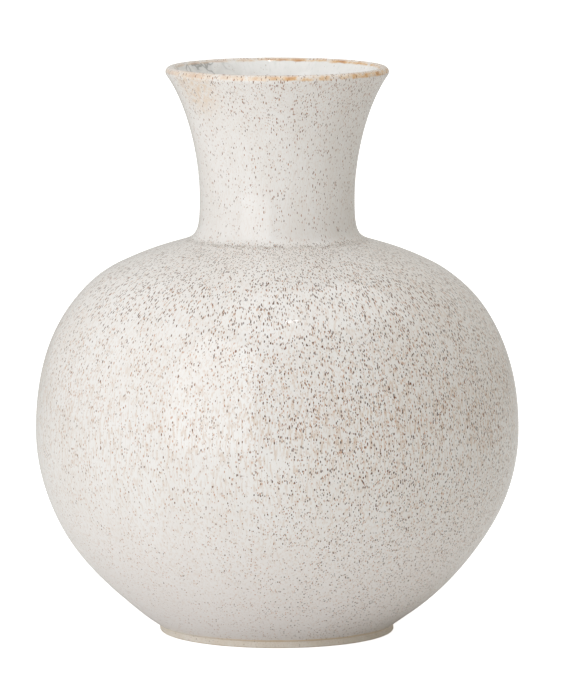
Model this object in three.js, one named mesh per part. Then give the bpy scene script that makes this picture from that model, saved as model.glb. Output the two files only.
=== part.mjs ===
// Stoneware pottery vase: thrown clay sections luted together under a fired coat of glaze.
// Millimetres, +Z up. The origin is the centre of the circle that the vase stands on.
import * as THREE from "three";

// Driving dimensions
const HEIGHT = 280; // standing plane to the crest of the lip
const GLAZE = 0.8; // thickness of a fired coat
const CLEARANCE = 0.3; // between a coat and the clay, and round a spigot
const SPIGOT = 2; // how far an upper section drops inside the one below it
const SEGMENTS = 40; // facets round the vase

const FOOT = { radius: 58, boreRadius: 49, bareHeight: 3.4, edge: 0.6 };
const FLOOR = { top: 12, underside: 6, flatRadius: 46 };
const GLAZE_EDGE = { radius: 58.3, slope: radians(33.5) };
const BELLY = { radius: 119.5, height: 100.5, wall: 6.6 };
const SHOULDER = { radius: 77.5, height: 182.5, slope: radians(26) };
const COLLAR_JOINT_HEIGHT = 193.8; // the seam where the neck sits on the shoulder
const THROAT = { radius: 38.2, height: 215 };
const LIP = { radius: 54.5, flare: radians(35), roundness: 2.6 };

// How far each curve of the outside runs straight before it turns
const REACH = {
  abovefoot: 33.5,
  belowBelly: 46.5,
  aboveBelly: 64.5,
  outsideShoulder: 2,
  insideShoulder: 39.5,
  belowThroat: 28,
  aboveThroat: 20.5,
  belowLip: 18,
  belowBellyInside: 46,
  floorEdge: 35,
};

// Facets along each stretch of the section
const STEPS = { lowerBelly: 7, upperBelly: 6, shoulder: 6, neck: 5, lip: 6 };

const COAT = GLAZE + CLEARANCE; // from the visible surface to the clay

function radians(degrees) {
  return (degrees * Math.PI) / 180;
}

// A point of the half section: x is the radius and y is the height.
function at(radius, height) {
  return new THREE.Vector2(radius, height);
}

// A point moved a distance along an angle that is measured up from the outward radius.
function along(point, angle, distance) {
  return at(
    point.x + distance * Math.cos(angle),
    point.y + distance * Math.sin(angle),
  );
}

// A station is a point of the visible surface with the normal that points away from the clay.
// The surface is walked up the outside, over the lip and down the inside.
function station(point, tangent) {
  return { point, normal: at(tangent.y, -tangent.x) };
}

function curveStations(start, startHandle, endHandle, end, steps) {
  const curve = new THREE.CubicBezierCurve(start, startHandle, endHandle, end);
  return Array.from({ length: steps + 1 }, (_, i) =>
    station(curve.getPoint(i / steps), curve.getTangent(i / steps)),
  );
}

// Points at a depth under the visible surface.
function buried(stations, depth) {
  return stations.map(({ point, normal }) =>
    point.clone().addScaledVector(normal, -depth),
  );
}

// The curves that meet end to end share a station, which is kept once.
function chain(...runs) {
  return runs.flatMap((run, i) => (i === 0 ? run : run.slice(1)));
}

// The outside, from the edge of the glaze to the start of the lip's round.
function outsideStations() {
  const glazeEdge = at(GLAZE_EDGE.radius, FOOT.bareHeight);
  const belly = at(BELLY.radius, BELLY.height);
  const shoulder = at(SHOULDER.radius, SHOULDER.height);
  const throat = at(THROAT.radius, THROAT.height);
  const lip = lipStart();
  const up = Math.PI / 2;
  return chain(
    curveStations(
      glazeEdge,
      along(glazeEdge, GLAZE_EDGE.slope, REACH.abovefoot),
      along(belly, -up, REACH.belowBelly),
      belly,
      STEPS.lowerBelly,
    ),
    curveStations(
      belly,
      along(belly, up, REACH.aboveBelly),
      along(shoulder, -SHOULDER.slope, REACH.outsideShoulder),
      shoulder,
      STEPS.upperBelly,
    ),
    curveStations(
      shoulder,
      along(shoulder, Math.PI - SHOULDER.slope, REACH.insideShoulder),
      along(throat, -up, REACH.belowThroat),
      throat,
      STEPS.shoulder,
    ),
    curveStations(
      throat,
      along(throat, up, REACH.aboveThroat),
      along(lip, -up - LIP.flare, REACH.belowLip),
      lip,
      STEPS.neck,
    ),
  );
}

function lipCentre() {
  return along(lipStart(), Math.PI - LIP.flare, LIP.roundness);
}

function lipStart() {
  const height = HEIGHT - LIP.roundness * (1 + Math.sin(LIP.flare));
  return at(LIP.radius, height);
}

// The lip's round: half a circle from the outside wall to the inside wall.
function lipStations() {
  const centre = lipCentre();
  return Array.from({ length: STEPS.lip + 1 }, (_, i) => {
    const angle = -LIP.flare + (Math.PI * i) / STEPS.lip;
    const tangent = at(-Math.sin(angle), Math.cos(angle));
    return station(along(centre, angle, LIP.roundness), tangent);
  });
}

// The wall thins evenly from the belly to the lip.
function wallAt(height) {
  const rise = (height - BELLY.height) / (lipStart().y - BELLY.height);
  return THREE.MathUtils.lerp(BELLY.wall, 2 * LIP.roundness, rise);
}

// The inside, from the lip down to the middle of the floor.
function insideStations(outside) {
  const upperInside = outside
    .filter(({ point }) => point.y >= BELLY.height)
    .map(({ point, normal }) => ({
      point: point.clone().addScaledVector(normal, -wallAt(point.y)),
      normal: normal.clone().negate(),
    }))
    .reverse();
  const belly = at(BELLY.radius - BELLY.wall, BELLY.height);
  const floorEdge = at(FLOOR.flatRadius, FLOOR.top);
  const lowerInside = curveStations(
    belly,
    along(belly, -Math.PI / 2, REACH.belowBellyInside),
    along(floorEdge, 0, REACH.floorEdge),
    floorEdge,
    STEPS.lowerBelly,
  );
  const middle = station(at(0, FLOOR.top), at(-1, 0));
  return [...chain(upperInside, lowerInside), middle];
}

// The radius of a section line where it crosses a height.
function radiusAt(line, height) {
  const i = line.findIndex(
    (p, k) => k > 0 && (p.y - height) * (line[k - 1].y - height) <= 0,
  );
  const [a, b] = [line[i - 1], line[i]];
  return THREE.MathUtils.lerp(a.x, b.x, (height - a.y) / (b.y - a.y));
}

function between(line, low, high) {
  return line.filter((p) => p.y > low && p.y < high);
}

const outside = outsideStations();
const lip = lipStations();
const inside = insideStations(outside);

// The clay's own faces, under the glaze
const clayOutside = buried(outside, COAT);
const clayLip = buried(lip, COAT);
const clayInside = buried(inside, COAT);
const FOOT_SEAT_HEIGHT = clayOutside[0].y;

// The step where an upper section stands on a lower one. Its inner half is a spigot that
// drops inside the lower section. Both lists run from the outside of the wall to the inside.
function luteJoint(height) {
  const foot = height - SPIGOT;
  const outer = radiusAt(clayOutside, height);
  const inner = radiusAt(clayInside, foot);
  const spigotRadius = (outer + inner) / 2;
  const end = at(inner, foot);
  return {
    height,
    foot,
    upper: [at(outer, height), at(spigotRadius, height), at(spigotRadius, foot), end],
    lower: [
      at(outer, height),
      at(spigotRadius + CLEARANCE, height),
      at(spigotRadius + CLEARANCE, foot),
      end,
    ],
  };
}

// The bare ring of clay that the vase stands on, its standing face eased at both edges.
function footRing() {
  const { radius, boreRadius, bareHeight, edge } = FOOT;
  const seatRadius = clayOutside[0].x - CLEARANCE;
  return [
    at(boreRadius + edge, 0),
    at(radius - edge, 0),
    at(radius, edge),
    at(radius, bareHeight - CLEARANCE),
    at(seatRadius, FOOT_SEAT_HEIGHT),
    at(boreRadius, FOOT_SEAT_HEIGHT),
    at(boreRadius, edge),
  ];
}

// The lower half of the belly, with the floor. It stands on the foot ring.
function lowerBowl(belt) {
  return [
    at(0, FLOOR.underside),
    at(FOOT.boreRadius, FLOOR.underside),
    at(FOOT.boreRadius, FOOT_SEAT_HEIGHT),
    clayOutside[0],
    ...between(clayOutside, FOOT_SEAT_HEIGHT, belt.height),
    ...belt.lower,
    ...between(clayInside, FLOOR.underside, belt.foot),
  ];
}

// The upper half of the belly, turned in to the hole that takes the collar.
function upperBowl(belt, seam) {
  return [
    ...belt.upper.slice(0, 1),
    ...between(clayOutside, belt.height, seam.height),
    ...seam.lower,
    ...between(clayInside, belt.foot, seam.foot),
    ...belt.upper.slice(1).reverse(),
  ];
}

// The neck and lip, thrown as one collar that stands on the shoulder.
function neckCollar(seam) {
  const lipStartHeight = clayLip[0].y;
  return [
    ...seam.upper.slice(0, 1),
    ...between(clayOutside, seam.height, lipStartHeight),
    ...clayLip,
    ...between(clayInside, seam.foot, clayLip.at(-1).y),
    ...seam.upper.slice(1).reverse(),
  ];
}

// The coat that runs from above the foot, up the outside and over the lip.
function outerGlaze() {
  const coated = chain(outside, lip);
  return [...buried(coated, 0), ...buried(coated, GLAZE).reverse()];
}

// The coat inside, from the lip down to the middle of the floor.
function linerGlaze() {
  return [...buried(inside, GLAZE).reverse(), ...buried(inside, 0)];
}

// Turns a half section into a closed solid about +Z. A section that misses the axis is closed on itself.
function turned(section) {
  const onAxis = section[0].x === 0;
  const profile = onAxis ? section : [...section, section[0]];
  return new THREE.LatheGeometry(profile, SEGMENTS).rotateX(Math.PI / 2);
}

const bareClay = () =>
  new THREE.MeshStandardMaterial({ color: 0xcfc6b8, roughness: 0.85, metalness: 0 });
const glazed = (color) =>
  new THREE.MeshStandardMaterial({ color, roughness: 0.12, metalness: 0 });

function piece(name, section, material) {
  const mesh = new THREE.Mesh(turned(section), material);
  mesh.name = name;
  return mesh;
}

const beltJoint = luteJoint(BELLY.height);
const collarJoint = luteJoint(COLLAR_JOINT_HEIGHT);

const vase = new THREE.Group();
vase.add(
  piece("foot_ring", footRing(), bareClay()),
  piece("lower_bowl", lowerBowl(beltJoint), bareClay()),
  piece("upper_bowl", upperBowl(beltJoint, collarJoint), bareClay()),
  piece("neck_collar", neckCollar(collarJoint), bareClay()),
  piece("outer_glaze", outerGlaze(), glazed(0xe4e0d9)),
  piece("liner_glaze", linerGlaze(), glazed(0xe6e6e1)),
);

export default vase;
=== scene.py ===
"""Stoneware pottery vase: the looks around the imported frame.

Lengths are in millimetres up to the point where a mesh is made, and in metres from there on.
"""

import math

import bpy
import numpy as np
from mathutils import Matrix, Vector

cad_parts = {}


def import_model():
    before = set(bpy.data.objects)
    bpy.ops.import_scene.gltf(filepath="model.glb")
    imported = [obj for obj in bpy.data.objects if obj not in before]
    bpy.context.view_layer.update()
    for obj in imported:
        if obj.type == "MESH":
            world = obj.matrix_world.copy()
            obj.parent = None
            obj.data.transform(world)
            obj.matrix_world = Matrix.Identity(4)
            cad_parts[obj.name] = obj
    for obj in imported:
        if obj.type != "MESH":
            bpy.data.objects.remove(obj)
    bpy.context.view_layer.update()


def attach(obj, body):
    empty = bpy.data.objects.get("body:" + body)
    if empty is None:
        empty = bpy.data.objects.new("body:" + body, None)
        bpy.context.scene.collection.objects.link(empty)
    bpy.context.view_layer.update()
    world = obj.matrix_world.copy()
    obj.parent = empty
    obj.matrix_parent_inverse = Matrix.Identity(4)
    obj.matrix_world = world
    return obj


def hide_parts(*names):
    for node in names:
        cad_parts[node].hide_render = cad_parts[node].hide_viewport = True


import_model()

MM = 0.001

# The form, as turned. These are the frame's own dimensions.
HEIGHT = 280.0
GLAZE = 0.8
CLEARANCE = 0.3
SPIGOT = 2.0
FOOT_RADIUS = 58.0
FOOT_BORE = 49.0
FOOT_BARE_HEIGHT = 3.4
FOOT_EDGE = 0.6
FLOOR_TOP = 12.0
FLOOR_UNDERSIDE = 6.0
FLOOR_FLAT_RADIUS = 46.0
GLAZE_EDGE_RADIUS = 58.3
GLAZE_EDGE_SLOPE = math.radians(33.5)
BELLY_RADIUS = 119.5
BELLY_HEIGHT = 100.5
BELLY_WALL = 6.6
SHOULDER_RADIUS = 77.5
SHOULDER_HEIGHT = 182.5
SHOULDER_SLOPE = math.radians(26)
COLLAR_JOINT_HEIGHT = 193.8
THROAT_RADIUS = 38.2
THROAT_HEIGHT = 215.0
LIP_RADIUS = 54.5
LIP_FLARE = math.radians(35)
LIP_ROUNDNESS = 2.6
COAT = GLAZE + CLEARANCE

# How far each curve of the outside runs straight before it turns
REACH = {
    "above_foot": 33.5,
    "below_belly": 46.5,
    "above_belly": 64.5,
    "outside_shoulder": 2.0,
    "inside_shoulder": 39.5,
    "below_throat": 28.0,
    "above_throat": 20.5,
    "below_lip": 18.0,
    "below_belly_inside": 46.0,
    "floor_edge": 35.0,
}

# Steps along each stretch of the section, and round the vase
STEPS = {
    "lower_belly": 72,
    "upper_belly": 60,
    "shoulder": 64,
    "neck": 44,
    "lip": 20,
    "floor": 24,
    "glaze_edge": 8,
    "foot_edge": 6,
}
SEGMENTS = 256

# The thrown body leans a little off its axis: (height, spread, shift along X)
LEANS = ((7.0, 6.0, -0.75), (42.0, 18.0, -0.65), (150.0, 20.0, -0.3), (177.0, 8.0, -0.5))

# The glaze ran downhill in the kiln, so its specks are drawn out along the fall of the wall. The run
# is how much shorter the glaze's own space is that way. It starts at RUN_AT_FOOT, and each change is
# the heights that it takes place between and the run above them.
RUN_AT_FOOT = 0.7
RUN_CHANGES = ((45, 105, 0.44), (140, 175, 0.3), (198, 212, 0.36))
RUN_KEPT = 0.96  # the most of the run that goes into the radius, so that the height always rises

LEAST_RADIUS = 1.0  # the glaze's space is worked out as if no point were nearer the axis than this
TINY = 1e-6
SAME_PLACE = 1e-4  # points closer than this are one point


def at(radius, height):
    return np.array([radius, height], float)


def along(point, angle, distance):
    return point + distance * at(math.cos(angle), math.sin(angle))


class Line:
    """Part of the half section: points, normals that point away from the clay, and the places
    in the glaze's own space."""

    def __init__(self, points, normals, flow=None):
        self.points = np.asarray(points, float)
        self.normals = np.asarray(normals, float)
        self.flow = self.points if flow is None else flow

    def buried(self, depth):
        return Line(self.points - depth * self.normals, self.normals, self.flow)

    def turned_round(self):
        """The same line walked the other way, as the far face of a coat."""
        return Line(self.points[::-1], -self.normals[::-1], self.flow[::-1])

    def __add__(self, other):
        """Joins a line that starts where this one ends."""
        return Line(
            np.vstack([self.points, other.points[1:]]),
            np.vstack([self.normals, other.normals[1:]]),
            np.vstack([self.flow, other.flow[1:]]),
        )


def crossing(line, height):
    """The point, normal and place in the glaze's space where a line passes a height."""
    table = np.hstack([line.points, line.normals, line.flow])
    heights = line.points[:, 1]
    order = 1 if heights[-1] > heights[0] else -1
    return np.array([np.interp(height, heights[::order], column[::order]) for column in table.T])


def between(line, low, high):
    """The stretch of a line between two heights, ended exactly at them or at the line's own end."""
    table = np.hstack([line.points, line.normals, line.flow])
    heights = line.points[:, 1]
    first, last = (low, high) if heights[-1] > heights[0] else (high, low)
    kept = table[(heights > low) & (heights < high)]
    rows = np.vstack([crossing(line, first), kept, crossing(line, last)])
    moved = np.linalg.norm(np.diff(rows[:, :2], axis=0), axis=1) > SAME_PLACE
    rows = rows[np.concatenate([[True], moved])]
    return Line(rows[:, :2], rows[:, 2:4], rows[:, 4:])


def curve(start, start_handle, end_handle, end, steps):
    """A cubic Bezier curve."""
    t = np.linspace(0, 1, steps + 1)[:, None]
    u = 1 - t
    points = u**3 * start + 3 * u * u * t * start_handle + 3 * u * t * t * end_handle + t**3 * end
    tangents = (
        u * u * (start_handle - start)
        + 2 * u * t * (end_handle - start_handle)
        + t * t * (end - end_handle)
    )
    tangents /= np.linalg.norm(tangents, axis=1)[:, None]
    return Line(points, np.stack([tangents[:, 1], -tangents[:, 0]], axis=1))


def arc(centre, radius, start, end, steps):
    """A rounded edge, swept from one angle to another."""
    angles = np.linspace(start, end, steps + 1)
    normals = np.stack([np.cos(angles), np.sin(angles)], axis=1)
    return Line(centre + radius * normals, normals)


def straight(start, end, steps=1):
    t = np.linspace(0, 1, steps + 1)[:, None]
    tangent = (end - start) / np.linalg.norm(end - start)
    normal = at(tangent[1], -tangent[0])
    return Line(start + t * (end - start), np.repeat(normal[None], steps + 1, axis=0))


def lip_start():
    return at(LIP_RADIUS, HEIGHT - LIP_ROUNDNESS * (1 + math.sin(LIP_FLARE)))


def outside_line():
    """From the edge of the glaze above the foot to the start of the lip's round."""
    glaze_edge = at(GLAZE_EDGE_RADIUS, FOOT_BARE_HEIGHT)
    belly = at(BELLY_RADIUS, BELLY_HEIGHT)
    shoulder = at(SHOULDER_RADIUS, SHOULDER_HEIGHT)
    throat = at(THROAT_RADIUS, THROAT_HEIGHT)
    lip = lip_start()
    up = math.pi / 2
    lower_belly = curve(
        glaze_edge,
        along(glaze_edge, GLAZE_EDGE_SLOPE, REACH["above_foot"]),
        along(belly, -up, REACH["below_belly"]),
        belly,
        STEPS["lower_belly"],
    )
    upper_belly = curve(
        belly,
        along(belly, up, REACH["above_belly"]),
        along(shoulder, -SHOULDER_SLOPE, REACH["outside_shoulder"]),
        shoulder,
        STEPS["upper_belly"],
    )
    neck_root = curve(
        shoulder,
        along(shoulder, math.pi - SHOULDER_SLOPE, REACH["inside_shoulder"]),
        along(throat, -up, REACH["below_throat"]),
        throat,
        STEPS["shoulder"],
    )
    neck = curve(
        throat,
        along(throat, up, REACH["above_throat"]),
        along(lip, -up - LIP_FLARE, REACH["below_lip"]),
        lip,
        STEPS["neck"],
    )
    return lower_belly + upper_belly + neck_root + neck


def lip_line():
    """Half a circle, from the outside of the wall to the inside."""
    centre = along(lip_start(), math.pi - LIP_FLARE, LIP_ROUNDNESS)
    return arc(centre, LIP_ROUNDNESS, -LIP_FLARE, math.pi - LIP_FLARE, STEPS["lip"])


def inside_line(outside):
    """From the lip down to the middle of the floor."""
    high = outside.points[:, 1] >= BELLY_HEIGHT
    upper = Line(outside.points[high], outside.normals[high])
    rise = (upper.points[:, 1] - BELLY_HEIGHT) / (lip_start()[1] - BELLY_HEIGHT)
    wall = BELLY_WALL + rise * (2 * LIP_ROUNDNESS - BELLY_WALL)
    upper = Line(upper.points - wall[:, None] * upper.normals, upper.normals).turned_round()
    belly = at(BELLY_RADIUS - BELLY_WALL, BELLY_HEIGHT)
    floor_edge = at(FLOOR_FLAT_RADIUS, FLOOR_TOP)
    lower = curve(
        belly,
        along(belly, -math.pi / 2, REACH["below_belly_inside"]),
        along(floor_edge, 0, REACH["floor_edge"]),
        floor_edge,
        STEPS["lower_belly"],
    )
    return upper + lower + straight(floor_edge, at(0, FLOOR_TOP), STEPS["floor"])


def smooth(low, high, value):
    """0 below a low value and 1 above a high one, with a smooth step between."""
    t = np.clip((value - low) / (high - low), 0, 1)
    return t * t * (3 - 2 * t)


def with_flow(line):
    """Gives a line its places in the glaze's own space, which is true to size round the vase near
    the belly and shorter along the fall of the wall, so that a round speck there is a long one here."""
    points = line.points
    steps = np.diff(points, axis=0)
    lengths = np.linalg.norm(steps, axis=1)
    middles = (points[1:] + points[:-1]) / 2
    run = np.full(len(middles), RUN_AT_FOOT)
    below = RUN_AT_FOOT
    for low, high, above in RUN_CHANGES:
        run += (above - below) * smooth(low, high, middles[:, 1])
        below = above
    spread = steps[:, 0] / lengths
    share = np.minimum(1, RUN_KEPT * run / np.maximum(np.abs(spread), TINY))
    radii = np.maximum(points[:, 0], LEAST_RADIUS)
    log_radius = np.concatenate([[0], np.cumsum(share * np.diff(np.log(radii)))])
    belly = int(np.argmax(points[:, 0]))
    flow_radius = points[belly, 0] * np.exp(log_radius - log_radius[belly])
    scale = (flow_radius / radii)[1:]
    rises = scale * np.sqrt(run**2 - (share * spread) ** 2) * lengths
    flow_height = np.concatenate([[0], np.cumsum(rises)])
    return Line(points, line.normals, np.stack([flow_radius, flow_height], axis=1))


def lean(height):
    """How far the body is shifted along X at a height."""
    return sum(shift * np.exp(-(((height - z) / spread) ** 2)) for z, spread, shift in LEANS)


def lean_slope(height):
    return sum(
        -2 * (height - z) / spread**2 * shift * np.exp(-(((height - z) / spread) ** 2))
        for z, spread, shift in LEANS
    )


ANGLES = np.linspace(0, 2 * math.pi, SEGMENTS, endpoint=False)
DIRECTIONS = np.stack([np.cos(ANGLES), np.sin(ANGLES), np.zeros(SEGMENTS)], axis=1)


def ring_normals(run, k):
    """The normals round one ring, turned with the body's lean."""
    radial, upward = run.normals[k]
    normals = DIRECTIONS * radial + [0, 0, upward]
    normals[:, 2] -= lean_slope(run.points[k, 1]) * normals[:, 0]
    return normals / np.linalg.norm(normals, axis=1)[:, None]


def revolve(name, runs):
    """A closed piece from the runs of its section. Each run starts where the last one ends, and
    is shaded smoothly along itself."""
    vertices, flows, rings = [], [], []
    count = 0
    for run in runs:
        starts = []
        for (radius, height), (flow_radius, flow_height) in zip(run.points[:-1], run.flow[:-1]):
            ring = DIRECTIONS[:1] * 0 if radius < TINY else DIRECTIONS
            vertices.append(ring * radius + [lean(height), 0, height])
            flows.append(ring * flow_radius + [0, 0, flow_height])
            starts.append((count, len(ring)))
            count += len(ring)
        rings.append(starts)
    for i, starts in enumerate(rings):
        starts.append(rings[(i + 1) % len(rings)][0])
    faces, normals = [], []
    for run, starts in zip(runs, rings):
        levels = [ring_normals(run, k) for k in range(len(starts))]
        for k in range(len(starts) - 1):
            low, low_size = starts[k]
            high, high_size = starts[k + 1]
            if low_size == 1 and high_size == 1:
                continue
            for j in range(SEGMENTS):
                n = (j + 1) % SEGMENTS
                corners = [(low + j % low_size, k, j)]
                if low_size > 1:
                    corners.append((low + n, k, n))
                corners.append((high + n % high_size, k + 1, n))
                if high_size > 1:
                    corners.append((high + j, k + 1, j))
                faces.append([vertex for vertex, _, _ in corners])
                normals.extend(levels[level][column] for _, level, column in corners)
    mesh = bpy.data.meshes.new(name)
    mesh.from_pydata(np.vstack(vertices) * MM, [], faces)
    mesh.normals_split_custom_set(normals)
    attribute = mesh.attributes.new("flow", "FLOAT_VECTOR", "POINT")
    attribute.data.foreach_set("vector", (np.vstack(flows) * MM).astype(np.float32).ravel())
    piece = bpy.data.objects.new(name, mesh)
    bpy.context.scene.collection.objects.link(piece)
    return piece


outside = outside_line()
lip = lip_line()
inside = with_flow(inside_line(outside))
coated = with_flow(outside + lip)


def outer_glaze():
    """The coat outside and over the lip, with the rolled edge that it froze to above the foot."""
    under = coated.buried(GLAZE).turned_round()
    middle = (under.points[-1] + coated.points[0]) / 2
    away = math.atan2(*(under.points[-1] - middle)[::-1])
    edge = arc(middle, GLAZE / 2, away, away + math.pi, STEPS["glaze_edge"])
    far = straight(coated.points[-1], under.points[0])
    return revolve("outer_glaze_coat", [coated, far, under, edge])


def liner_glaze():
    """The coat inside, down to the middle of the floor."""
    under = inside.buried(GLAZE).turned_round()
    rim = straight(under.points[-1], inside.points[0])
    middle = straight(inside.points[-1], under.points[0])
    return revolve("liner_glaze_coat", [inside, middle, under, rim])


# The clay's own faces, under the glaze
clay_outside = outside.buried(COAT)
clay_lip = lip.buried(COAT)
clay_inside = inside.buried(COAT)
FOOT_SEAT = clay_outside.points[0]


def path(*corners):
    """Straight runs from corner to corner."""
    return [straight(a, b) for a, b in zip(corners, corners[1:])]


def lute_joint(height):
    """The step where an upper section stands on a lower one, its inner half a spigot that drops
    inside. Both lists of corners run from the outside of the wall to the inside."""
    foot = height - SPIGOT
    outer = crossing(clay_outside, height)[0]
    inner = crossing(clay_inside, foot)[0]
    spigot = (outer + inner) / 2
    socket = spigot + CLEARANCE
    upper = [at(outer, height), at(spigot, height), at(spigot, foot), at(inner, foot)]
    lower = [at(outer, height), at(socket, height), at(socket, foot), at(inner, foot)]
    return upper, lower


def foot_ring():
    """The bare ring that the vase stands on, eased at both edges of its standing face."""
    e = FOOT_EDGE
    seat_radius = FOOT_SEAT[0] - CLEARANCE
    runs = [
        arc(at(FOOT_BORE + e, e), e, math.pi, 1.5 * math.pi, STEPS["foot_edge"]),
        straight(at(FOOT_BORE + e, 0), at(FOOT_RADIUS - e, 0)),
        arc(at(FOOT_RADIUS - e, e), e, -math.pi / 2, 0, STEPS["foot_edge"]),
        *path(
            at(FOOT_RADIUS, e),
            at(FOOT_RADIUS, FOOT_BARE_HEIGHT - CLEARANCE),
            at(seat_radius, FOOT_SEAT[1]),
            at(FOOT_BORE, FOOT_SEAT[1]),
            at(FOOT_BORE, e),
        ),
    ]
    return revolve("foot_ring_clay", runs)


def lower_bowl():
    """The lower half of the belly, with the floor."""
    floor = clay_inside.points[-1]
    _, joint = lute_joint(BELLY_HEIGHT)
    runs = [
        *path(
            at(0, FLOOR_UNDERSIDE),
            at(FOOT_BORE, FLOOR_UNDERSIDE),
            at(FOOT_BORE, FOOT_SEAT[1]),
            FOOT_SEAT,
        ),
        between(clay_outside, FOOT_SEAT[1], BELLY_HEIGHT),
        *path(*joint),
        between(clay_inside, 0, BELLY_HEIGHT - SPIGOT),
        straight(floor, at(0, FLOOR_UNDERSIDE)),
    ]
    return revolve("lower_bowl_clay", runs)


def upper_bowl():
    """The upper half of the belly, turned in to the hole that takes the collar."""
    belt, _ = lute_joint(BELLY_HEIGHT)
    _, seam = lute_joint(COLLAR_JOINT_HEIGHT)
    runs = [
        between(clay_outside, BELLY_HEIGHT, COLLAR_JOINT_HEIGHT),
        *path(*seam),
        between(clay_inside, BELLY_HEIGHT - SPIGOT, COLLAR_JOINT_HEIGHT - SPIGOT),
        *path(*belt[::-1]),
    ]
    return revolve("upper_bowl_clay", runs)


def neck_collar():
    """The neck and lip, which stand on the shoulder."""
    seam, _ = lute_joint(COLLAR_JOINT_HEIGHT)
    rim = clay_lip.points[-1]
    runs = [
        between(clay_outside, COLLAR_JOINT_HEIGHT, clay_lip.points[0][1]),
        clay_lip,
        between(clay_inside, COLLAR_JOINT_HEIGHT - SPIGOT, rim[1]),
        *path(*seam[::-1]),
    ]
    return revolve("neck_collar_clay", runs)


def srgb(red, green, blue):
    """A display colour, 0 to 255, as the linear colour that a shader takes."""
    return tuple(
        c / 12.92 if c <= 0.04045 else ((c + 0.055) / 1.055) ** 2.4
        for c in (red / 255, green / 255, blue / 255)
    ) + (1.0,)


class Nodes:
    """A material's node tree, built from small calls that take numbers or other nodes' outputs."""

    def __init__(self, name):
        self.material = bpy.data.materials.new(name)
        self.material.use_nodes = True
        self.tree = self.material.node_tree
        self.shader = self.tree.nodes["Principled BSDF"]

    def put(self, socket, value):
        if isinstance(value, bpy.types.NodeSocket):
            self.tree.links.new(value, socket)
        else:
            socket.default_value = value

    def add(self, kind, inputs=(), **settings):
        node = self.tree.nodes.new(kind)
        for name, value in settings.items():
            setattr(node, name, value)
        for key, value in dict(inputs).items():
            self.put(node.inputs[key], value)
        return node

    def math(self, operation, *values):
        return self.add("ShaderNodeMath", enumerate(values), operation=operation).outputs[0]

    def product(self, first, *others):
        for other in others:
            first = self.math("MULTIPLY", first, other)
        return first

    def ramp(self, value, low, high, start=0.0, end=1.0):
        """Goes smoothly from start to end as value goes from low to high."""
        inputs = {"Value": value, "From Min": low, "From Max": high, "To Min": start, "To Max": end}
        return self.add("ShaderNodeMapRange", inputs, interpolation_type="SMOOTHSTEP").outputs[0]

    def over(self, length, low, high, start=0.0, end=1.0):
        """A ramp over a length, its low and high in millimetres."""
        return self.ramp(length, low * MM, high * MM, start, end)

    def mix(self, factor, a, b):
        """Goes from colour a to colour b. Inputs 6 and 7 and output 2 are the node's colour ones."""
        node = self.add("ShaderNodeMix", data_type="RGBA")
        self.put(node.inputs["Factor"], factor)
        self.put(node.inputs[6], a)
        self.put(node.inputs[7], b)
        return node.outputs[2]

    def scaled(self, vector, scale, shift=(0.0, 0.0, 0.0)):
        inputs = {0: vector, 1: scale, 2: shift}
        return self.add("ShaderNodeVectorMath", inputs, operation="MULTIPLY_ADD").outputs[0]

    def axes(self, vector):
        """The X, Y and Z of a vector."""
        return self.add("ShaderNodeSeparateXYZ", {0: vector}).outputs

    def distance(self, vector, centre):
        """How far a vector is from a centre that is given in millimetres."""
        inputs = {0: vector, 1: tuple(c * MM for c in centre)}
        return self.add("ShaderNodeVectorMath", inputs, operation="DISTANCE").outputs["Value"]

    def noise(self, vector, size, detail=2.0, roughness=0.5):
        """Soft noise from 0 to 1, mostly near a half, with lumps of a size in millimetres."""
        inputs = {"Vector": vector, "Scale": 1 / (size * MM), "Detail": detail, "Roughness": roughness}
        return self.add("ShaderNodeTexNoise", inputs).outputs["Fac"]

    def flow(self):
        """The place in the glaze's own space, which is in the mesh."""
        return self.add("ShaderNodeAttribute", attribute_name="flow").outputs["Vector"]

    def place(self):
        return self.add("ShaderNodeTexCoord").outputs["Object"]

    def curve(self, value, stops):
        """A grey ramp through (position, level) stops."""
        node = self.add("ShaderNodeValToRGB", {"Fac": value})
        elements = node.color_ramp.elements
        while len(elements) < len(stops):
            elements.new(0.5)
        for element, (position, level) in zip(elements, stops):
            element.position = position
            element.color = (level, level, level, 1)
        return node.outputs["Color"]

    def palette(self, value, colors):
        """Steps smoothly through evenly spaced colours as value goes from 0 to 1."""
        node = self.add("ShaderNodeValToRGB", {"Fac": value})
        elements = node.color_ramp.elements
        while len(elements) < len(colors):
            elements.new(0.5)
        for i, (element, color) in enumerate(zip(elements, colors)):
            element.position = i / (len(colors) - 1)
            element.color = color
        return node.outputs["Color"]


# Specks. Each has a cell of the space to itself, and they run from a share of the radius up to it.
SMALLEST_SPECK = 0.5
SEED_DIRECTION = (1.0, 1.7, 2.3)
SHOWN_OVER = 0.04  # how far a speck's random number is under the share before it shows in full
TAN_SPECK = {"cell": 0.95, "radius": 0.3, "softness": 0.18, "seed": 3.1}
RUST_SPECK = {"cell": 0.95, "radius": 0.268, "softness": 0.04, "seed": 17.3}
IRON_SPECK = {"cell": 1.06, "radius": 0.31, "softness": 0.04, "seed": 41.9}
DRIP_SPECK = {"cell": 1.2, "radius": 0.335, "softness": 0.04, "seed": 29.1}
LINER_SPECK = {"cell": 1.6, "radius": 0.3, "softness": 0.15, "seed": 7.7}
GROG_SPECK = {"cell": 1.3, "radius": 0.28, "softness": 0.12, "seed": 5.3}
RAGGED = {"size": 1.1, "amount": 0.35}

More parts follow.
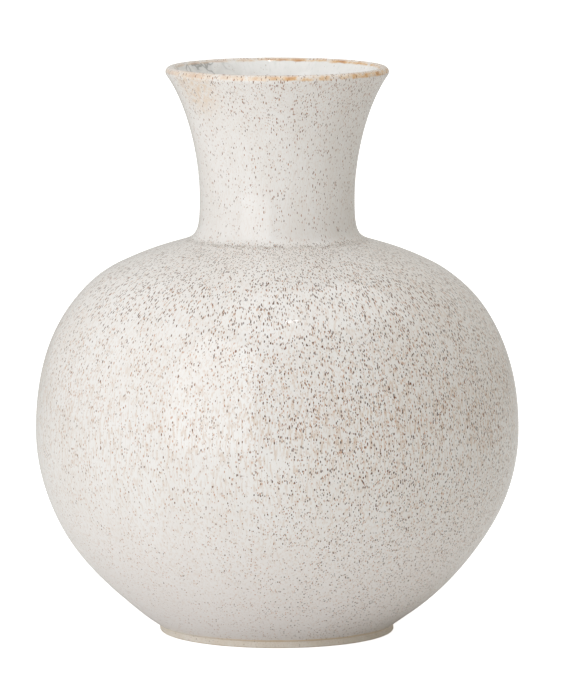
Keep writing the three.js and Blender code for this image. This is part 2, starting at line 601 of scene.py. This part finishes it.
# How thickly the specks lie, from the foot (0) to the lip (1): the tan and rust ones, the darkest,
# and the drips, which are the biggest and lie on the shoulder and neck. Then the tan mist between
# the specks, and how far the colours of the shoulder are taken on.
CROWD = [
    (0.0, 0.26),
    (0.12, 0.3),
    (0.3, 0.46),
    (0.42, 0.7),
    (0.6, 0.56),
    (0.692, 0.48),
    (0.698, 0.5),
    (0.708, 0.1),
    (0.9, 0.18),
    (0.97, 0.32),
]
IRON_CROWD = [
    (0.0, 0.32),
    (0.12, 0.38),
    (0.28, 0.6),
    (0.38, 0.85),
    (0.6, 0.95),
    (0.67, 1.0),
    (0.7, 0.8),
    (0.708, 0.0),
]
DRIP_CROWD = [
    (0.45, 0.0),
    (0.58, 0.45),
    (0.65, 1.1),
    (0.68, 1.1),
    (0.699, 0.85),
    (0.708, 0.2),
    (0.86, 0.27),
    (0.93, 0.45),
    (0.985, 0.5),
]
MIST = [(0.0, 0.25), (0.3, 0.6), (0.42, 0.9), (0.55, 0.6), (0.7, 0.25), (0.9, 0.35)]
ON_SHOULDER = [(0.45, 0.0), (0.64, 1.0), (0.698, 1.0), (0.706, 0.0)]

# Colours of the outer glaze
GROUND_PALE = srgb(239, 236, 233)
GROUND_WARM = srgb(236, 232, 228)
GROUND_LOW = srgb(240, 234, 232)
MIST_COLOR = srgb(214, 194, 176)
TAN = [srgb(184, 138, 100), srgb(194, 132, 84), srgb(156, 122, 92)]
RUST = [srgb(124, 72, 34), srgb(148, 88, 44), srgb(104, 72, 42)]
IRON = [srgb(62, 30, 8), srgb(96, 48, 12), srgb(52, 34, 16)]
DRIP = [srgb(152, 84, 42), srgb(92, 46, 20), srgb(178, 116, 72)]
RUST_ON_SHOULDER = srgb(88, 64, 26)
DRIP_ON_SHOULDER = srgb(90, 62, 20)
SEAM_COLOR = srgb(116, 98, 68)
HONEY = srgb(222, 192, 156)
HEM_COLOR = srgb(232, 206, 168)
# Over the lip, from pale pink through honey to amber and rust
LIP_COLORS = [srgb(236, 225, 219), srgb(238, 215, 188), srgb(226, 184, 136), srgb(202, 146, 98)]

HONEY_SPOT = (-40.0, -33.0, 272.0)
# Where the painted reflections lie: grey squiggles in the liner at the left of the mouth
REFLECTION_SQUIGGLES = (-43.0, 22.0, 274.0)
OUTER_SKIN = {"glossiest": 0.07, "dullest": 0.13, "ripple": 0.1}
LINER_SKIN = {"glossiest": 0.03, "dullest": 0.06, "ripple": 0.9}


def specks(nodes, space, share, cell, radius, softness, seed, grow=1.0):
    """Scattered specks of up to a radius, one to each cell of the space, of which share show.
    Gives their mask and a random number for each."""
    shift = tuple(seed * s for s in SEED_DIRECTION)
    vector = nodes.scaled(space, (1 / (cell * MM),) * 3, shift)
    voronoi = nodes.add("ShaderNodeTexVoronoi", {"Vector": vector, "Scale": 1.0, "Randomness": 1.0})
    random = nodes.add("ShaderNodeSeparateColor", {"Color": voronoi.outputs["Color"]}).outputs
    size = nodes.ramp(random[0], 0.0, 1.0, SMALLEST_SPECK * radius / cell, radius / cell)
    size = nodes.math("MULTIPLY", size, grow)
    depth = nodes.math("SUBTRACT", size, voronoi.outputs["Distance"])
    mask = nodes.ramp(depth, -softness / cell / 2, softness / cell / 2)
    shown = nodes.ramp(nodes.math("SUBTRACT", share, random[1]), 0.0, SHOWN_OVER)
    return nodes.product(mask, shown), random[2]


def stirred(nodes, space, size, amount):
    """The space, pushed about a little so that what is drawn in it isn't even."""
    push = nodes.add("ShaderNodeTexNoise", {"Vector": space, "Scale": 1 / (size * MM), "Detail": 1.0})
    return nodes.scaled(push.outputs["Color"], (amount * MM,) * 3, space)


def wavered(nodes, height, place, size, amount):
    """A height with up to an amount added, so that a line at it wavers."""
    return nodes.math("ADD", height, nodes.product(nodes.noise(place, size), amount * MM))


def broken_over_lip(nodes, color, place, low, high):
    """Amber where the glaze ran thin over the lip and the clay burns through, between a height
    where it starts and one where it is full. It is strongest on the right of the front."""
    x, _, z = nodes.axes(place)
    patches = nodes.ramp(nodes.noise(place, 9.0, detail=4.0, roughness=0.65), 0.3, 0.7)
    edge = nodes.math("MULTIPLY_ADD", nodes.noise(place, 5.0), 1.6 * MM, -0.8 * MM)
    burnt = nodes.over(nodes.math("ADD", z, edge), low, high)
    crest = nodes.over(z, 278.9, 279.8, 1.0, 0.35)
    strength = nodes.over(x, -35, 20, 0.45, 1.15)
    amount = nodes.product(burnt, crest, strength, nodes.ramp(patches, 0.1, 0.5, 0.4, 0.95))
    return nodes.mix(amount, color, nodes.palette(patches, LIP_COLORS))


def honey_spot(nodes, color, place):
    """A honey-coloured bloom under the lip, where a flame touched it."""
    near = nodes.over(nodes.distance(place, HONEY_SPOT), 4, 20, 1.0, 0.0)
    grain = nodes.ramp(nodes.noise(place, 2.2, detail=3.0, roughness=0.7), 0.38, 0.7, 0.1, 0.7)
    return nodes.mix(nodes.product(near, grain), color, HONEY)


def seam_line(nodes, color, place, z):
    """A thin broken line of specks that collected where the neck stands on the shoulder."""
    ridge = wavered(nodes, z, place, 9.0, 1.2)
    rising = nodes.over(ridge, 194.6, 195.4)
    falling = nodes.over(ridge, 196.0, 196.8, 1.0, 0.0)
    broken = nodes.ramp(nodes.noise(place, 0.55, detail=0.0), 0.5, 0.58, 0.0, 0.42)
    return nodes.mix(nodes.product(rising, falling, broken), color, SEAM_COLOR)


def warm_hem(nodes, color, place, x, z):
    """The lower edge of the glaze, thin enough to show the clay's warmth, most of all on the right."""
    edge = nodes.over(wavered(nodes, z, place, 6.0, 0.8), 4.3, 5.0, 0.8, 0.0)
    return nodes.mix(nodes.product(edge, nodes.over(x, -50, 0, 0.3, 1.0)), color, HEM_COLOR)


def glaze_skin(nodes, space, glossiest, dullest, ripple):
    """Gloss that varies, and the long shallow ripples that the glaze froze in."""
    roughness = nodes.ramp(nodes.noise(space, 4.0), 0.3, 0.7, glossiest, dullest)
    nodes.put(nodes.shader.inputs["Roughness"], roughness)
    waves = nodes.noise(space, 7.0, detail=1.0)
    bump = nodes.add("ShaderNodeBump", {"Strength": 0.25, "Distance": ripple * MM, "Height": waves})
    nodes.put(nodes.shader.inputs["Normal"], bump.outputs[0])


def gathering_and_veil(nodes, x, on_shoulder):
    """How the pale specks and the dark ones gather towards the right of the front. The dark ones do so
    more, but are more even round the shoulder. This is partly the glaze's own scatter and partly
    painted light: the key light's reflected veil, which pales the specks on the left, is painted in as
    fewer and paler specks there."""
    dark = nodes.over(x, -70, 70, 0.56, 1.24)
    pale = nodes.math("MULTIPLY_ADD", dark, 0.6, 0.48)
    evening = nodes.product(nodes.math("SUBTRACT", 1.1, dark), on_shoulder, 0.75)
    return pale, nodes.math("ADD", dark, evening)


def misty_ground(nodes, flow, height, gathered_and_veiled):
    """The white of the glaze, warmer in clouds and low down, under streaks of tan mist. The mist thins
    towards the left with the specks, partly as the painted veil of the key light's reflection.
    """
    clouds = nodes.noise(flow, 22.0, detail=3.0)
    color = nodes.mix(nodes.ramp(clouds, 0.35, 0.7), GROUND_PALE, GROUND_WARM)
    color = nodes.mix(nodes.ramp(height, 0.05, 0.35, 0.6, 0.0), color, GROUND_LOW)
    streaks = nodes.noise(nodes.scaled(flow, (1.0, 1.0, 0.5)), 1.0, roughness=0.6)
    streaks = nodes.ramp(streaks, 0.46, 0.68, 0.0, 0.85)
    return nodes.mix(nodes.product(streaks, nodes.curve(height, MIST), gathered_and_veiled), color, MIST_COLOR)


def speckled_glaze():
    """The outer glaze: a misty white ground, and four layers of iron speck from tan to near black."""
    nodes = Nodes("speckled_glaze")
    place = nodes.place()
    x, _, z = nodes.axes(place)
    flow = nodes.flow()
    ragged = stirred(nodes, flow, **RAGGED)
    height = nodes.math("DIVIDE", z, HEIGHT * MM)
    on_shoulder = nodes.curve(height, ON_SHOULDER)
    # The specks thin out and pale towards the left partly as painted light: the key light's reflected
    # veil is painted in as fewer specks there.
    pale_gathering_and_veil, dark_gathering_and_veil = gathering_and_veil(nodes, x, on_shoulder)

    drift = nodes.ramp(nodes.noise(flow, 12.0), 0.3, 0.7, 0.75, 1.25)
    clumps = nodes.ramp(nodes.noise(flow, 3.2), 0.3, 0.7, 0.65, 1.35)
    share = nodes.product(nodes.curve(height, CROWD), pale_gathering_and_veil, drift, clumps)
    iron_gathering_and_veil = [dark_gathering_and_veil] * 3  # the darkest gather the most
    iron_share = nodes.product(nodes.curve(height, IRON_CROWD), *iron_gathering_and_veil, drift, clumps)
    drip_share = nodes.product(nodes.curve(height, DRIP_CROWD), dark_gathering_and_veil, clumps)
    drip_growth = nodes.ramp(height, 0.69, 0.72, 1.0, 1.4)

    tan, tan_kind = specks(nodes, ragged, share, **TAN_SPECK)
    rust, rust_kind = specks(nodes, ragged, share, **RUST_SPECK)
    iron, iron_kind = specks(nodes, ragged, iron_share, **IRON_SPECK)
    drip, drip_kind = specks(nodes, ragged, drip_share, **DRIP_SPECK, grow=drip_growth)

    shaded = nodes.product(on_shoulder, 0.5)
    rust_color = nodes.mix(shaded, nodes.palette(rust_kind, RUST), RUST_ON_SHOULDER)
    drip_color = nodes.mix(shaded, nodes.palette(drip_kind, DRIP), DRIP_ON_SHOULDER)
    # Painted veil: on the left the iron specks turn browner and paler and the rust ones fainter,
    # standing for the key light's reflection over them.
    browned_and_veiled = nodes.ramp(dark_gathering_and_veil, 0.6, 1.0, 0.6, 0.0)
    iron_color = nodes.mix(browned_and_veiled, nodes.palette(iron_kind, IRON), RUST[0])
    rust_strength = nodes.ramp(dark_gathering_and_veil, 0.56, 1.0, 0.6, 0.9)

    color = misty_ground(nodes, flow, height, pale_gathering_and_veil)
    color = nodes.mix(nodes.product(tan, 0.8), color, nodes.palette(tan_kind, TAN))
    color = seam_line(nodes, color, place, z)
    color = nodes.mix(nodes.product(rust, rust_strength), color, rust_color)
    color = honey_spot(nodes, color, place)
    color = broken_over_lip(nodes, color, place, 277.0, 278.0)
    color = nodes.mix(nodes.product(drip, 0.9), color, drip_color)
    color = nodes.mix(nodes.product(iron, 0.97), color, iron_color)
    color = warm_hem(nodes, color, place, x, z)
    nodes.put(nodes.shader.inputs["Base Color"], color)
    glaze_skin(nodes, flow, **OUTER_SKIN)
    return nodes.material


def painted_reflection_squiggles(nodes, color, place):
    """Painted reflections at the left of the mouth, just inside the lip: grey squiggle lines with a
    paler grey haze round them, painted into the liner's colour as reflections in its wavy glaze.
    """
    around_squiggles = nodes.over(nodes.distance(place, REFLECTION_SQUIGGLES), 14, 33, 1.0, 0.0)
    near = nodes.product(around_squiggles, nodes.over(nodes.axes(place)["Z"], 262, 270))
    waves = nodes.noise(stirred(nodes, place, size=9.0, amount=6.0), 10.0)
    away = nodes.math("ABSOLUTE", nodes.math("SUBTRACT", waves, 0.5))
    # Painted reflection: a pale grey haze round each squiggle, then the darker grey squiggle line
    # itself
    grey_haze = nodes.ramp(away, 0.02, 0.12, 0.45, 0.0)
    color = nodes.mix(nodes.product(near, grey_haze), color, srgb(214, 214, 214))
    line = nodes.ramp(away, 0.008, 0.03, 1.0, 0.0)
    return nodes.mix(nodes.product(near, line, 0.7), color, srgb(158, 156, 152))


def pale_liner():
    """The glaze inside: cooler than the outside, pooled greener low down, with few specks."""
    nodes = Nodes("pale_liner")
    place = nodes.place()
    flow = nodes.flow()
    clouds = nodes.noise(flow, 18.0, detail=4.0, roughness=0.6)
    color = nodes.mix(nodes.ramp(clouds, 0.35, 0.7), srgb(247, 245, 243), srgb(242, 241, 238))
    low = nodes.over(nodes.axes(place)["Z"], 12, 190, 0.7, 0.0)
    color = nodes.mix(low, color, srgb(228, 230, 224))
    streaks = nodes.noise(nodes.scaled(flow, (1.0, 1.0, 0.3)), 3.0, detail=3.0, roughness=0.65)
    color = nodes.mix(nodes.ramp(streaks, 0.5, 0.8, 0.0, 0.35), color, srgb(206, 210, 204))
    ragged = stirred(nodes, flow, **RAGGED)
    fine, fine_kind = specks(nodes, ragged, 0.3, **LINER_SPECK)
    fine_color = nodes.palette(fine_kind, [srgb(150, 120, 96), srgb(186, 160, 136), srgb(110, 96, 84)])
    color = nodes.mix(nodes.product(fine, 0.8), color, fine_color)
    # Painted reflections: grey squiggles at the left of the mouth
    color = painted_reflection_squiggles(nodes, color, place)
    color = broken_over_lip(nodes, color, place, 278.0, 279.0)
    nodes.put(nodes.shader.inputs["Base Color"], color)
    glaze_skin(nodes, flow, **LINER_SKIN)
    return nodes.material


def bare_clay():
    """Unglazed stoneware: sandy, with dark grog, turning lines, and patchy darkening in its lowest
    millimetre, where it stands.
    """
    nodes = Nodes("bare_clay")
    place = nodes.place()
    clouds = nodes.noise(place, 9.0, detail=4.0, roughness=0.6)
    color = nodes.mix(nodes.ramp(clouds, 0.3, 0.7), srgb(243, 236, 227), srgb(236, 226, 212))
    sand = nodes.noise(place, 0.5, roughness=0.7)
    color = nodes.mix(nodes.ramp(sand, 0.45, 0.75, 0.0, 0.5), color, srgb(204, 188, 166))
    grog, grog_kind = specks(nodes, place, 0.35, **GROG_SPECK)
    grog_color = nodes.palette(grog_kind, [srgb(120, 96, 76), srgb(166, 140, 114), srgb(84, 74, 64)])
    color = nodes.mix(nodes.product(grog, 0.75), color, grog_color)
    # Darker in patches in the lowest millimetre, where it stands on the floor
    standing = nodes.over(nodes.axes(place)["Z"], 0, 0.9, 0.45, 0.0)
    darker_base = nodes.product(standing, nodes.ramp(clouds, 0.35, 0.6, 0.4, 1.0))
    color = nodes.mix(darker_base, color, srgb(176, 160, 140))
    nodes.put(nodes.shader.inputs["Base Color"], color)
    nodes.put(nodes.shader.inputs["Roughness"], nodes.ramp(sand, 0.3, 0.7, 0.75, 0.92))
    rings = nodes.noise(nodes.scaled(place, (0.02, 0.02, 1.0)), 0.7)
    relief = nodes.math("ADD", nodes.product(rings, 0.6), sand)
    bump = nodes.add("ShaderNodeBump", {"Strength": 0.6, "Distance": 0.08 * MM, "Height": relief})
    nodes.put(nodes.shader.inputs["Normal"], bump.outputs[0])
    return nodes.material


glaze_material = speckled_glaze()
liner_material = pale_liner()
clay_material = bare_clay()

# Each piece with its material, its slot in the record and the CAD node it stands for
PIECES = [
    (outer_glaze(), glaze_material, "outer_glaze", "outer_glaze"),
    (liner_glaze(), liner_material, "liner_glaze", "liner_glaze"),
    (foot_ring(), clay_material, "bare_clay", "foot_ring"),
    (lower_bowl(), clay_material, "clay_body", "lower_bowl"),
    (upper_bowl(), clay_material, "clay_body", "upper_bowl"),
    (neck_collar(), clay_material, "clay_body", "neck_collar"),
]
for piece, material, slot, node in PIECES:
    piece.data.materials.append(material)
    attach(piece, "root")
    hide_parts(node)


# The camera stands far back in front of the vase and looks down at it a little
CAMERA_PLACE = (0.0031, -3.124, 0.5448)
CAMERA_DOWN = math.radians(7.39)
CAMERA_LENS = 328.2
CAMERA_SENSOR = 36
CAMERA_REACH = 100

# The floor's colour and glow, first as the camera sees them and then as they light the vase
FLOOR_SEEN = (0.95, 0.95, 0.95, 1)
FLOOR_GLOW = 0.8
FLOOR_COLOR = (0.88, 0.88, 0.87, 1)
FLOOR_LIGHT = 0.03
FLOOR_HALF = 12.0  # half its side

# The room's light from each side, above and behind
ROOM = [
    ((-1, 0, 0), (0.33, 0.327, 0.33)),
    ((1, 0, 0), (0.12, 0.107, 0.085)),
    ((0, 0, 1), (0.117, 0.119, 0.105)),
    ((0, -1, 0), (0.1, 0.1, 0.098)),
    ((0, 1, 0), (0.29, 0.284, 0.27)),
]

# The big soft panel on the left, in two parts side by side: bright where its reflection veils the
# glaze, and dim beyond
KEY = {"azimuth": -52, "distance": 1.0, "low": 0.02, "high": 1.52, "width": 0.88}
DAYLIGHT = (0.975, 1.0, 1.035)
WHITE = (1, 1, 1)


def camera():
    data = bpy.data.cameras.new("camera")
    data.sensor_width = CAMERA_SENSOR
    data.lens = CAMERA_LENS
    data.clip_end = CAMERA_REACH
    made = bpy.data.objects.new("camera", data)
    bpy.context.scene.collection.objects.link(made)
    made.location = CAMERA_PLACE
    made.rotation_euler = (math.radians(90) - CAMERA_DOWN, 0, 0)
    bpy.context.scene.camera = made


def area_light(name, location, target, size, radiance, color=WHITE):
    """A rectangle of light of a size (width, height) that faces a target."""
    data = bpy.data.lights.new(name, "AREA")
    data.shape = "RECTANGLE"
    data.size, data.size_y = size
    data.energy = radiance * math.pi * size[0] * size[1]
    data.color = color
    made = bpy.data.objects.new(name, data)
    made.location = location
    made.rotation_euler = (Vector(target) - Vector(location)).to_track_quat("-Z", "Y").to_euler()
    made.visible_camera = False
    bpy.context.scene.collection.objects.link(made)
    return made


def around(azimuth, distance, height):
    """A place at a compass angle from the camera's side of the vase, positive to the right."""
    a = math.radians(azimuth)
    return (distance * math.sin(a), -distance * math.cos(a), height)


def panel(name, azimuth, distance, offset, low, high, width, radiance, color=WHITE):
    """An upright soft panel that faces the vase's axis, shifted sideways along itself."""
    a = math.radians(azimuth)
    middle = (low + high) / 2
    shift = Vector((offset * math.cos(a), offset * math.sin(a), 0))
    place = Vector(around(azimuth, distance, middle)) + shift
    target = Vector((0, 0, middle)) + shift
    return area_light(name, place, target, (width, high - low), radiance, color)


def world():
    """The room: a colour of light from each side, fading to nothing on the side opposite. What the
    camera sees of it is plain white."""
    made = bpy.data.worlds.new("studio")
    made.use_nodes = True
    tree = made.node_tree
    direction = tree.nodes.new("ShaderNodeTexCoord").outputs["Generated"]
    total = None
    for side, color in ROOM:
        facing = tree.nodes.new("ShaderNodeVectorMath")
        facing.operation = "DOT_PRODUCT"
        facing.inputs[1].default_value = side
        tree.links.new(direction, facing.inputs[0])
        level = tree.nodes.new("ShaderNodeMapRange")
        level.inputs["From Min"].default_value = -1
        tree.links.new(facing.outputs["Value"], level.inputs["Value"])
        lit = tree.nodes.new("ShaderNodeVectorMath")
        lit.operation = "MULTIPLY_ADD"
        tree.links.new(level.outputs[0], lit.inputs[0])
        lit.inputs[1].default_value = color
        if total is not None:
            tree.links.new(total, lit.inputs[2])
        total = lit.outputs[0]
    background = tree.nodes["Background"]
    tree.links.new(total, background.inputs["Color"])
    plain = tree.nodes.new("ShaderNodeBackground")
    plain.inputs["Color"].default_value = (1, 1, 1, 1)
    seen = tree.nodes.new("ShaderNodeLightPath").outputs["Is Camera Ray"]
    mix = tree.nodes.new("ShaderNodeMixShader")
    tree.links.new(seen, mix.inputs["Fac"])
    tree.links.new(background.outputs[0], mix.inputs[1])
    tree.links.new(plain.outputs[0], mix.inputs[2])
    tree.links.new(mix.outputs[0], tree.nodes["World Output"].inputs["Surface"])
    bpy.context.scene.world = made


def floor():
    """A pale floor that the camera sees as white paper, and that throws back less than white would."""
    mesh = bpy.data.meshes.new("floor")
    half = FLOOR_HALF
    corners = [(-half, -half, 0), (half, -half, 0), (half, half, 0), (-half, half, 0)]
    mesh.from_pydata(corners, [], [(0, 1, 2, 3)])
    made = bpy.data.objects.new("floor", mesh)
    bpy.context.scene.collection.objects.link(made)
    nodes = Nodes("floor_paper")
    seen = nodes.add("ShaderNodeLightPath").outputs["Is Camera Ray"]
    nodes.put(nodes.shader.inputs["Base Color"], nodes.mix(seen, FLOOR_COLOR, FLOOR_SEEN))
    nodes.put(nodes.shader.inputs["Emission Color"], (1, 1, 1, 1))
    nodes.put(nodes.shader.inputs["Emission Strength"], nodes.ramp(seen, 0, 1, FLOOR_LIGHT, FLOOR_GLOW))
    nodes.put(nodes.shader.inputs["Roughness"], 0.9)
    nodes.put(nodes.shader.inputs["Specular IOR Level"], 0.0)
    mesh.materials.append(nodes.material)


camera()
world()
floor()
panel("key", **KEY, offset=0.44, radiance=1.66, color=DAYLIGHT)
panel("key_tail", **KEY, offset=-0.44, radiance=0.32, color=DAYLIGHT)
area_light("overhead", (0.25, -0.1, 1.45), (0.1, 0, 0), (1.7, 1.1), 0.82, DAYLIGHT)
area_light("strip", around(15, 0.46, 1.36), (0, 0, 0.18), (0.13, 0.022), 16.0)
panel("low_fill", azimuth=62, distance=0.9, offset=0.0, low=0.0, high=0.16, width=1.0, radiance=0.2)
bpy.context.scene.view_settings.view_transform = "Standard"
